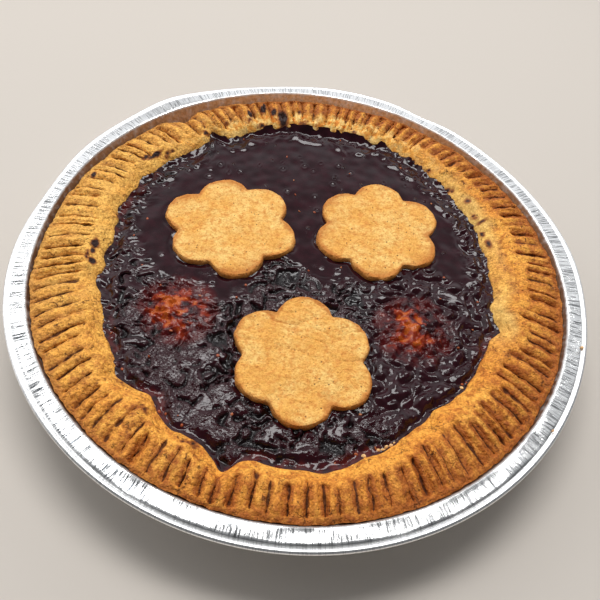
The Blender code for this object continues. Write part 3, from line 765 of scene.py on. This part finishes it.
# Jam. Dark berry jam, set glossy: smooth on the far side, boiled to a bubbly skin on the near side.
# A square sheet is rounded out to the crust, sunk in a trough round its edge, and worked into lumps.
JAM_CELLS = 290
CLIMB = 0.0011
TROUGH_RUN = 0.0074
TROUGH_RUN_SWAY = 0.0022
TROUGH_LEAST = 0.0022
TROUGH_DEPTH = 0.0008
NARROWER = ((322, 0.003, 26), (10, 0.003, 24), (165, 0.002, 24), (117, 0.0032, 17), (90, 0.001, 20))
BRINK_RISE = 0.00042
BANK_RUN = 0.0058
BANK_HEIGHT = 0.0037
ROUGH_START_ACROSS = (-0.09, -0.075, -0.06, -0.03, -0.014, 0.014, 0.04, 0.09)
ROUGH_START = (0.012, -0.002, -0.017, -0.017, 0.001, 0.001, 0.006, 0.006)
ROUGH_RING = ((15, 1.0, 38), (340, 1.0, 40), (180, 0.7, 30), (140, 0.6, 14))
PIT_DEPTH = 0.0017
LUMP_RISE = 0.0014
MOUNDS = ((-0.051, -0.035), (0.0518, -0.0275))
MOUND_RADIUS = 0.0145
MOUND_RISE = 0.0026
STAIN_REACH = 1.42
SWIRL = (0.0566, -0.0258)
SWIRL_RADIUS = 0.0052
BED_SOFT = 0.0009
BED_DROP = 0.0007

jam = round_sheet("berry_jam", JAM_CELLS)
spots = spots_of(jam)
angle, share = rounded(spots[:, :2])
down = np.clip(-spots[:, 2], 0, 1)
edge = jam_edge(angle)
far_side = swelling(angle, ((95, 1.0, 42),))
climb_out = CLIMB + 0.0006 * far_side
reach = (edge + climb_out) * share
inward = edge - reach
flat = around(angle, reach, 0)

# The trough round its edge, and the uneven rolled brink where it ends
ripple = 0.0015 * swell(flat, 0.013, 41) + 0.0011 * swell(flat, 0.0055, 42)
run = TROUGH_RUN + TROUGH_RUN_SWAY * np.sin(angle) + ripple - swelling(angle, NARROWER)
run = np.maximum(run, TROUGH_LEAST)
trough = run * (0.45 - 0.28 * far_side - swelling(angle, ((8, 0.28, 40),)))
share_up = eased(rising(inward, trough, run - trough))
sinking = np.maximum(np.sin(math.pi / 2 * np.clip(inward / trough, 0, 1)), np.clip(1.6 * far_side, 0, 1))
sunk = (TROUGH_DEPTH + 0.0005 * far_side) * (1 - swelling(angle, ((15, 0.6, 45),)))
height = JAM_LEVEL - sunk * np.where(inward < trough, sinking, 1 - share_up)
clinging = np.clip(0.7 + 0.9 * swell(flat, 0.008, 62), 0, 1.6)
height += 0.0005 * (1 - far_side) * clinging * np.exp(-np.clip(inward + 0.001, 0, 1) / 0.0012)
rolled = np.clip(0.55 + 0.3 * far_side + (0.7 + 0.4 * far_side) * swell(flat, 0.006, 63), 0, 1.5)
past_brink = inward - run - 0.0006
brink_width = np.where(past_brink > 0, 0.0018 + 0.0008 * far_side, 0.0018 - 0.0005 * far_side)
brink_rise = (BRINK_RISE + 0.00034 * far_side) * rolled + 0.00012 * far_side * swell(flat, 0.0022, 66)
height += np.exp(-(past_brink / brink_width) ** 2) * brink_rise
bank_share = np.clip(1 - (inward + climb_out) / (BANK_RUN + 0.001 * swell(flat, 0.008, 67)), 0, 1) ** 1.8
bank_height = BANK_HEIGHT + 0.0004 * swell(flat, 0.005, 74) + 0.0002 * swell(flat, 0.0022, 75)
height += far_side * bank_share * bank_height
height += far_side * np.exp(-((inward - 0.0022) / 0.0022) ** 2) * 0.00032 * swell(flat, 0.003, 77)
fine_ripple = 0.00014 + swelling(angle, ((5, 0.00016, 50),))
uneven = 0.0003 * swell(flat, 0.0048, 64) + fine_ripple * swell(flat, 0.0021, 65)
height += (1 - share_up) * (1 - 0.2 * far_side) * uneven

# Wrinkled and lumpy on the near side and round the left and right edges
starts = np.interp(flat[:, 0], ROUGH_START_ACROSS, ROUGH_START)
near = rising(starts - flat[:, 1] + 0.007 * swell(flat, 0.018, 43), 0, 0.012)
ring = np.exp(-((inward - 0.005) / 0.005) ** 2) * swelling(angle, ROUGH_RING)
rough_part = np.clip(near + ring, 0, 1) * (0.25 + 0.75 * share_up)
right = rising(flat[:, 0], 0.018, 0.022) * rising(flat[:, 1], -0.085, 0.02)
warped = flat + 0.003 * strip(swell(flat, 0.007, 44), swell(flat, 0.007, 45))
patch = eased(np.clip(0.62 + 1.3 * swell(warped, 0.0075, 57), 0, 1))
wide_pits = swell(warped * (0.58, 1, 1), 0.0024, 68) + 0.5 * swell(flat, 0.011, 69)
pits = rising(wide_pits, 0.06, 1.0) ** 0.8
worn = 0.00034 * swell(warped, 0.0095, 46) + 0.00016 * swell(warped, 0.0042, 47) - PIT_DEPTH * pits
height += rough_part * (1 - right) * worn
stretched = strip(reach / 0.0052, angle * 0.085 / 0.0086)
blobs = 1.4 * np.abs(swell(stretched, 1.0, 58)) - 0.5
height += rough_part * right * (LUMP_RISE * np.minimum(blobs, 0.7) + 0.00045 * swell(warped, 0.0046, 47))
folds = 1 - 2.6 * np.abs(swell(warped, 0.003, 48))
skin = 0.00018 * np.maximum(folds, -0.7) + 0.00015 * swell(warped, 0.0015, 49)
height += rough_part * (0.3 + 0.7 * patch) * (1 - 0.6 * right) * skin
calm = 0.00015 * swell(flat, 0.016, 50) + 0.00008 * swell(flat, 0.005, 51)
height += (1 - rough_part) * share_up * calm

# Beads at the crust: place round the ring, distance from the middle, half width and rise.
# Drops by the crust: first and last degree, number, half width and rise. Then bubbles and pits
BEADS = (
    (151.1, 0.0897, 0.0026, 0.002), (159.5, 0.0897, 0.0028, 0.0019), (166.9, 0.0908, 0.0023, 0.0017),
    (128, 0.0925, 0.0016, 0.0008),
)
EDGE_DROPS = (
    (-25, 68, 80, 0.0012, 0.0006), (150, 212, 26, 0.0018, 0.0007), (212, 335, 36, 0.001, 0.0004),
)
wells = []
for degrees, away, size, tall in BEADS:
    turn = math.radians(degrees)
    wells.append((away * math.cos(turn), away * math.sin(turn), size, tall))
draw = np.random.default_rng(23)
for least, most, count, size, tall in EDGE_DROPS:
    for number in range(count):
        turn = math.radians(draw.uniform(least, most))
        away = jam_edge(np.array([turn]))[0] - draw.uniform(0.003, 0.0085)
        across = size * draw.uniform(0.6, 1.5)
        wells.append((away * math.cos(turn), away * math.sin(turn), across, tall * draw.uniform(0.5, 1.2)))
for count, half_width, nearest, farthest, largest, depths in (
    (150, 0.078, -0.084, 0.0, 0.0016, (-0.0005, -0.0003, 0.0004)),
    (70, 0.062, 0.01, 0.078, 0.0014, (-0.0004, -0.0003, 0.0003)),
):
    for number in range(count):
        across = draw.uniform(-half_width, half_width)
        along = draw.uniform(nearest, farthest)
        wells.append((across, along, draw.uniform(0.0006, largest), draw.choice(depths)))
drops = np.zeros_like(reach)
for across, along, size, tall in wells:
    away = np.hypot(flat[:, 0] - across, flat[:, 1] - along) / size
    if tall > 0:
        drops = np.maximum(drops, tall * np.sqrt(np.clip(1 - away ** 2, 0, 1)))
    else:
        height += tall * np.exp(-(away / 0.7) ** 2) - 0.6 * tall * np.exp(-((away - 1.15) / 0.3) ** 2)
height += drops

# The two mounds, the right one with a dark swirl
on_mounds = np.zeros_like(reach)
for middle in MOUNDS:
    away = np.hypot(flat[:, 0] - middle[0], flat[:, 1] - middle[1]) / MOUND_RADIUS
    height += MOUND_RISE * np.where(away < 1, (np.cos(np.clip(away, 0, 1) * math.pi) + 1) / 2, 0)
    on_mounds = np.maximum(on_mounds, 1 - away / STAIN_REACH)
swirl = np.exp(-(np.hypot(flat[:, 0] - SWIRL[0], flat[:, 1] - SWIRL[1]) / SWIRL_RADIUS) ** 2)
swirl *= np.clip(0.9 + 0.6 * swell(warped, 0.003, 71), 0, 1.3)
height += 0.0004 * swirl * swell(warped, 0.0022, 72)
mound_folds = np.maximum(1 - 2.6 * np.abs(swell(warped, 0.0034, 76)), -0.7)
mound_skin = np.clip(on_mounds * 2, 0, 1)
height += mound_skin * (0.00026 * swell(warped, 0.0019, 73) + 0.00032 * mound_folds)

# Beds of the biscuits, and the jam sunk a little round their sides
for middle, first_petal, reaches in BISCUITS.values():
    dx, dy = flat[:, 0] - middle[0], flat[:, 1] - middle[1]
    facing = np.arctan2(dy, dx) - math.radians(first_petal)
    facing = (facing + math.pi) % (2 * math.pi) - math.pi
    outside = np.hypot(dx, dy) - flower_reach(facing, np.array(reaches))
    deeper = np.clip(0.45 - 0.9 * np.sin(facing + math.radians(first_petal)), 0.1, 1)
    deeper *= np.clip(0.7 + 0.7 * swell(flat, 0.006, 60), 0, 1.5)
    height -= BED_DROP * deeper * np.exp(-((outside - 0.0006) / 0.0013) ** 2)
    height = np.where(outside < -BED_SOFT, BISCUIT_BOTTOM - GAP, height)

height = np.where(down > 0, height - (height - (CRUST_FLOOR + GAP)) * down, height)
place_spots(jam, around(angle, reach - 0.0068 * down, height))
bpy.ops.object.shade_smooth_by_angle(angle=math.radians(80))

# Where it is thin and red, darkened in its pits as painted shade, or wrinkled
REDDER_RUNS = ((238, 1.3, 7), (214, 0.9, 8), (268, 1.0, 8), (287, 1.2, 9), (340, 0.8, 8), (168, 0.8, 14))
shore = np.exp(-np.clip(inward + 0.001, 0, 1) / 0.0018)
thin = (0.9 - 0.6 * far_side) * shore * (0.6 + 0.5 * swell(flat, 0.005, 52))
thin += swelling(angle, REDDER_RUNS) * np.exp(-((inward - 0.0022) / 0.0024) ** 2)
stain(jam, "thin", thin * (0.7 + 0.6 * swell(flat, 0.003, 55)) + np.clip(drops / 0.0014, 0, 0.3))
mottled = 1.05 + 0.5 * swell(flat, 0.006, 54) + 0.45 * swell(flat, 0.002, 56)
stain(jam, "mound", on_mounds * mottled - 0.85 * swirl)
# Painted shade in the pits of the wrinkled near side
stain(jam, "sunk", rough_part * (1 - right) * pits * 2)
left = falling(flat[:, 0], -0.058, 0.012) * rising(flat[:, 1], -0.035, 0.01)
wrinkled = rough_part * (0.3 + 0.7 * patch) * (1 - 0.75 * right) * (1 - 0.7 * left)
stain(jam, "wrinkled", wrinkled + 0.75 * mound_skin)

JAM_DARK = (0.016, 0.0024, 0.0048)
JAM_LIGHT = (0.029, 0.0045, 0.0085)
JAM_WRINKLED = (0.025, 0.002, 0.0046)
JAM_PIT_SHADE = (0.004, 0.0008, 0.0012)
JAM_THIN = (0.085, 0.0075, 0.006)
MOUND_DARK = (0.072, 0.004, 0.0045)
MOUND_RED = (0.27, 0.024, 0.004)
MOUND_ORANGE = (0.5, 0.105, 0.011)
SKIN_RISE = 0.0005
glossy, tree, shader, place = new_finish("set berry jam")
colour = blended(tree, ramp(tree, grains(tree, place, 0.006, 3), 0.35, 0.7), JAM_DARK, JAM_LIGHT)
colour = layered(
    tree, colour, (read(tree, "wrinkled"), JAM_WRINKLED), (read(tree, "sunk"), JAM_PIT_SHADE),
    (ramp(tree, read(tree, "thin"), 0.15, 1.0, 0.0, 0.9), JAM_THIN),
    (ramp(tree, read(tree, "mound"), 0.02, 0.36), MOUND_DARK),
    (ramp(tree, read(tree, "mound"), 0.4, 0.72), MOUND_RED),
    (ramp(tree, read(tree, "mound"), 0.78, 0.98, 0.0, 0.85), MOUND_ORANGE),
)
tree.links.new(colour, shader.inputs["Base Color"])
tree.links.new(ramp(tree, read(tree, "wrinkled"), 0.1, 0.9, 0.13, 0.09), shader.inputs["Roughness"])
shader.inputs["Specular IOR Level"].default_value = 0.32
drawn_out = moved(tree, "MULTIPLY", place, (0.62, 1, 1))
skin = []
for size, rise in ((0.0026, 0.00044), (0.001, 0.00026)):
    given = {"Vector": drawn_out, "Scale": 1 / size, "Detail": 2.5, "Roughness": 0.55, "Distortion": 1.2}
    curled = node(tree, "TexNoise", given, noise_type="RIDGED_MULTIFRACTAL").outputs["Fac"]
    curled = product(tree, curled, ramp(tree, read(tree, "wrinkled"), 0.0, 0.9, 0.03, 1.0))
    skin.append(product(tree, curled, rise / SKIN_RISE))
bumps = raised(tree, sums(tree, "ADD", skin[0], skin[1]), SKIN_RISE)
nick = flecks(tree, place, 1 / 210, 0.8, 0.84, 0.08, 0.26)
tree.links.new(raised(tree, nick, 0.0005, 1.0, bumps), shader.inputs["Normal"])
jam.data.materials.append(glossy)
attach(jam, "root")
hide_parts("jam")

# Nut crumbs and berry seeds. Tan and orange bits caught in the jam, paler by the crust, and two on the rim.
# Each is a small ball squashed and turned, set at its place in millimetres, all joined into one piece.
SEEDS = (
    (74.2, -49.8), (76.0, -51.5), (72.3, -51.2), (82.8, -35.3), (81.2, -38.0), (78.3, -22.6), (63.8, -9.1),
    (87.6, -8.1), (81.4, -6.9), (66.0, 4.4), (30.9, -71.4), (71.1, -33.7), (-73.8, -47.9), (-74.8, -50.6),
    (-65.6, -66.6), (-56.5, -59.6), (-29.2, -54.6), (-19.0, -79.3), (-39.1, -83.2), (-46.5, -82.6),
    (-43.9, -82.8), (-36.8, -86.7), (-24.1, -16.6), (-26.9, -24.1), (-42.8, -25.7), (-62.4, -30.2),
    (-44.7, -40.9), (-50.8, -46.0), (-16.8, 71.5), (-11.1, 54.4), (-9.0, 44.2), (-5.7, 33.5), (1.8, 34.0),
    (17.2, 65.6), (-41.6, 81.0), (10.5, 92.0), (-79.8, 2.3), (-71.6, -13.9), (17.5, 1.4), (-60.9, -23.1),
    (-76.5, 13.9), (2.9, -3.4), (30.1, -88.1), (22.5, -92.6), (37.5, -84.4), (60.5, 52.0), (44.0, 76.0),
)
PALE_CRUMBS = (
    (38.6, -85.0), (40.4, -84.4), (41.8, -83.2), (43.4, -82.6), (44.6, -81.4), (33.0, -88.6), (72.0, -52.8),
    (77.2, -50.6),
)
RIM_CRUMBS = ((105.2, -69.7), (123.2, -28.4))
SEED_RED = (0.4, 0.085, 0.025)
CRUMB_PALE = (0.82, 0.52, 0.22)
surface = spots_of(jam)[down == 0]
draw = np.random.default_rng(5)
bits = []
shades = []
for places, size, shade in ((SEEDS, 0.00062, 0.0), (PALE_CRUMBS, 0.0008, 1.0), (RIM_CRUMBS, 0.0007, 0.6)):
    for across, along in places:
        across, along = across / 1000, along / 1000
        nearest = np.argmin(np.hypot(surface[:, 0] - across, surface[:, 1] - along))
        below = RIM_HEIGHT + 0.0003 if places is RIM_CRUMBS else surface[nearest][2]
        where = (across, along, below - size * 0.1)
        bpy.ops.mesh.primitive_ico_sphere_add(subdivisions=2, radius=size, location=where)
        bit = bpy.context.object
        bit.rotation_euler = draw.uniform(0, 3, 3)
        bit.scale = draw.uniform(0.45, 1.4, 3)
        bits.append(bit)
        shades.append(np.full(len(bit.data.vertices), shade + draw.uniform(-0.2, 0.2)))
bpy.ops.object.select_all(action="DESELECT")
for bit in bits:
    bit.select_set(True)
bpy.context.view_layer.objects.active = bits[0]
bpy.ops.object.join()
crumbs = bpy.context.object
crumbs.name = "nut_crumbs"
bpy.ops.object.transform_apply()
stain(crumbs, "pale", np.concatenate(shades))
nut, tree, shader, place = new_finish("nut crumb")
tree.links.new(blended(tree, read(tree, "pale"), SEED_RED, CRUMB_PALE), shader.inputs["Base Color"])
shader.inputs["Roughness"].default_value = 0.35
crumbs.data.materials.append(nut)
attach(crumbs, "root")

# Table, light and camera: a pale warm table top, soft light from the far left, and the photograph's view.
# The sky is brightest at the far side, dimmer high up where the jam mirrors it, and half bright low down.
# Each lamp is its place, width, depth and power. The camera's distance is in rim radii.
TABLE_WARM = (0.63, 0.575, 0.515)
TABLE_LIGHT = (0.66, 0.605, 0.545)
LAMPS = {
    "window": ((-0.05, 0.421, 1.225), 0.95, 0.36, 12.9),
    "side_window": ((-1.2, 0.35, 0.75), 1.3, 1.3, 3.6),
}
PHOTO_WIDTH = 600
FOCAL_LENGTH = 613.0
SENSOR = 36
CAMERA_TILT = math.radians(53.778)
CAMERA_YAW = math.radians(-0.1764)
CAMERA_ROLL = math.radians(8.294)
CAMERA_CLIMB = math.radians(49.657)
CAMERA_DISTANCE = 2.1676
bpy.ops.mesh.primitive_plane_add(size=8)
table = bpy.context.object
table.name = "table_top"
paint, tree, shader, place = new_finish("pale table")
table_colour = blended(tree, grains(tree, place, 0.5, 2), TABLE_WARM, TABLE_LIGHT)
tree.links.new(table_colour, shader.inputs["Base Color"])
shader.inputs["Roughness"].default_value = 0.9
shader.inputs["Specular IOR Level"].default_value = 0.1
table.data.materials.append(paint)

sky = bpy.data.worlds.new("studio")
bpy.context.scene.world = sky
sky.use_nodes = True
tree = sky.node_tree
toward = node(tree, "TexCoord").outputs["Generated"]
facing = node(tree, "VectorMath", {0: toward, 1: (-0.2, 0.93, 0.3)}, operation="DOT_PRODUCT")
overhead = node(tree, "VectorMath", {0: toward, 1: (0.03, 0.375, 0.927)}, operation="DOT_PRODUCT")
bright = ramp(tree, facing.outputs["Value"], 0.05, 0.85, 0.12, 1.04)
dimmed = ramp(tree, overhead.outputs["Value"], 0.82, 0.985, 1.0, 0.3)
low = node(tree, "SeparateXYZ", {0: toward}).outputs["Z"]
strength = product(tree, bright, dimmed)
strength = sums(tree, "MAXIMUM", strength, ramp(tree, low, 0.1, 0.5, 0.5, 0.0))
tree.links.new(strength, tree.nodes["Background"].inputs["Strength"])
tree.nodes["Background"].inputs["Color"].default_value = (0.95, 0.97, 1.0, 1)
for name, (spot, wide, deep, power) in LAMPS.items():
    bpy.ops.object.light_add(type="AREA", location=spot)
    lamp = bpy.context.object
    lamp.name = name
    lamp.data.shape = "RECTANGLE"
    lamp.data.size = wide
    lamp.data.size_y = deep
    lamp.data.energy = power
    lamp.rotation_euler = (-Vector(spot)).to_track_quat("-Z", "Y").to_euler()

bpy.ops.object.camera_add()
camera = bpy.context.object
camera.data.sensor_width = SENSOR
camera.data.lens = FOCAL_LENGTH / PHOTO_WIDTH * SENSOR
sideways, backwards = Vector((1, 0, 0)), Vector((0, -math.cos(CAMERA_TILT), math.sin(CAMERA_TILT)))
aim = Matrix((sideways, backwards.cross(sideways), backwards)).transposed()
aim = aim @ Matrix.Rotation(CAMERA_YAW, 3, "Y") @ Matrix.Rotation(CAMERA_ROLL, 3, "Z")
stand = Vector((0, -math.cos(CAMERA_CLIMB), math.sin(CAMERA_CLIMB))) * CAMERA_DISTANCE * RIM_RADIUS
stand += Vector((0, 0, RIM_HEIGHT))
camera.matrix_world = Matrix.Translation(stand) @ aim.to_4x4()
bpy.context.scene.camera = camera
bpy.context.scene.view_settings.view_transform = "Standard"
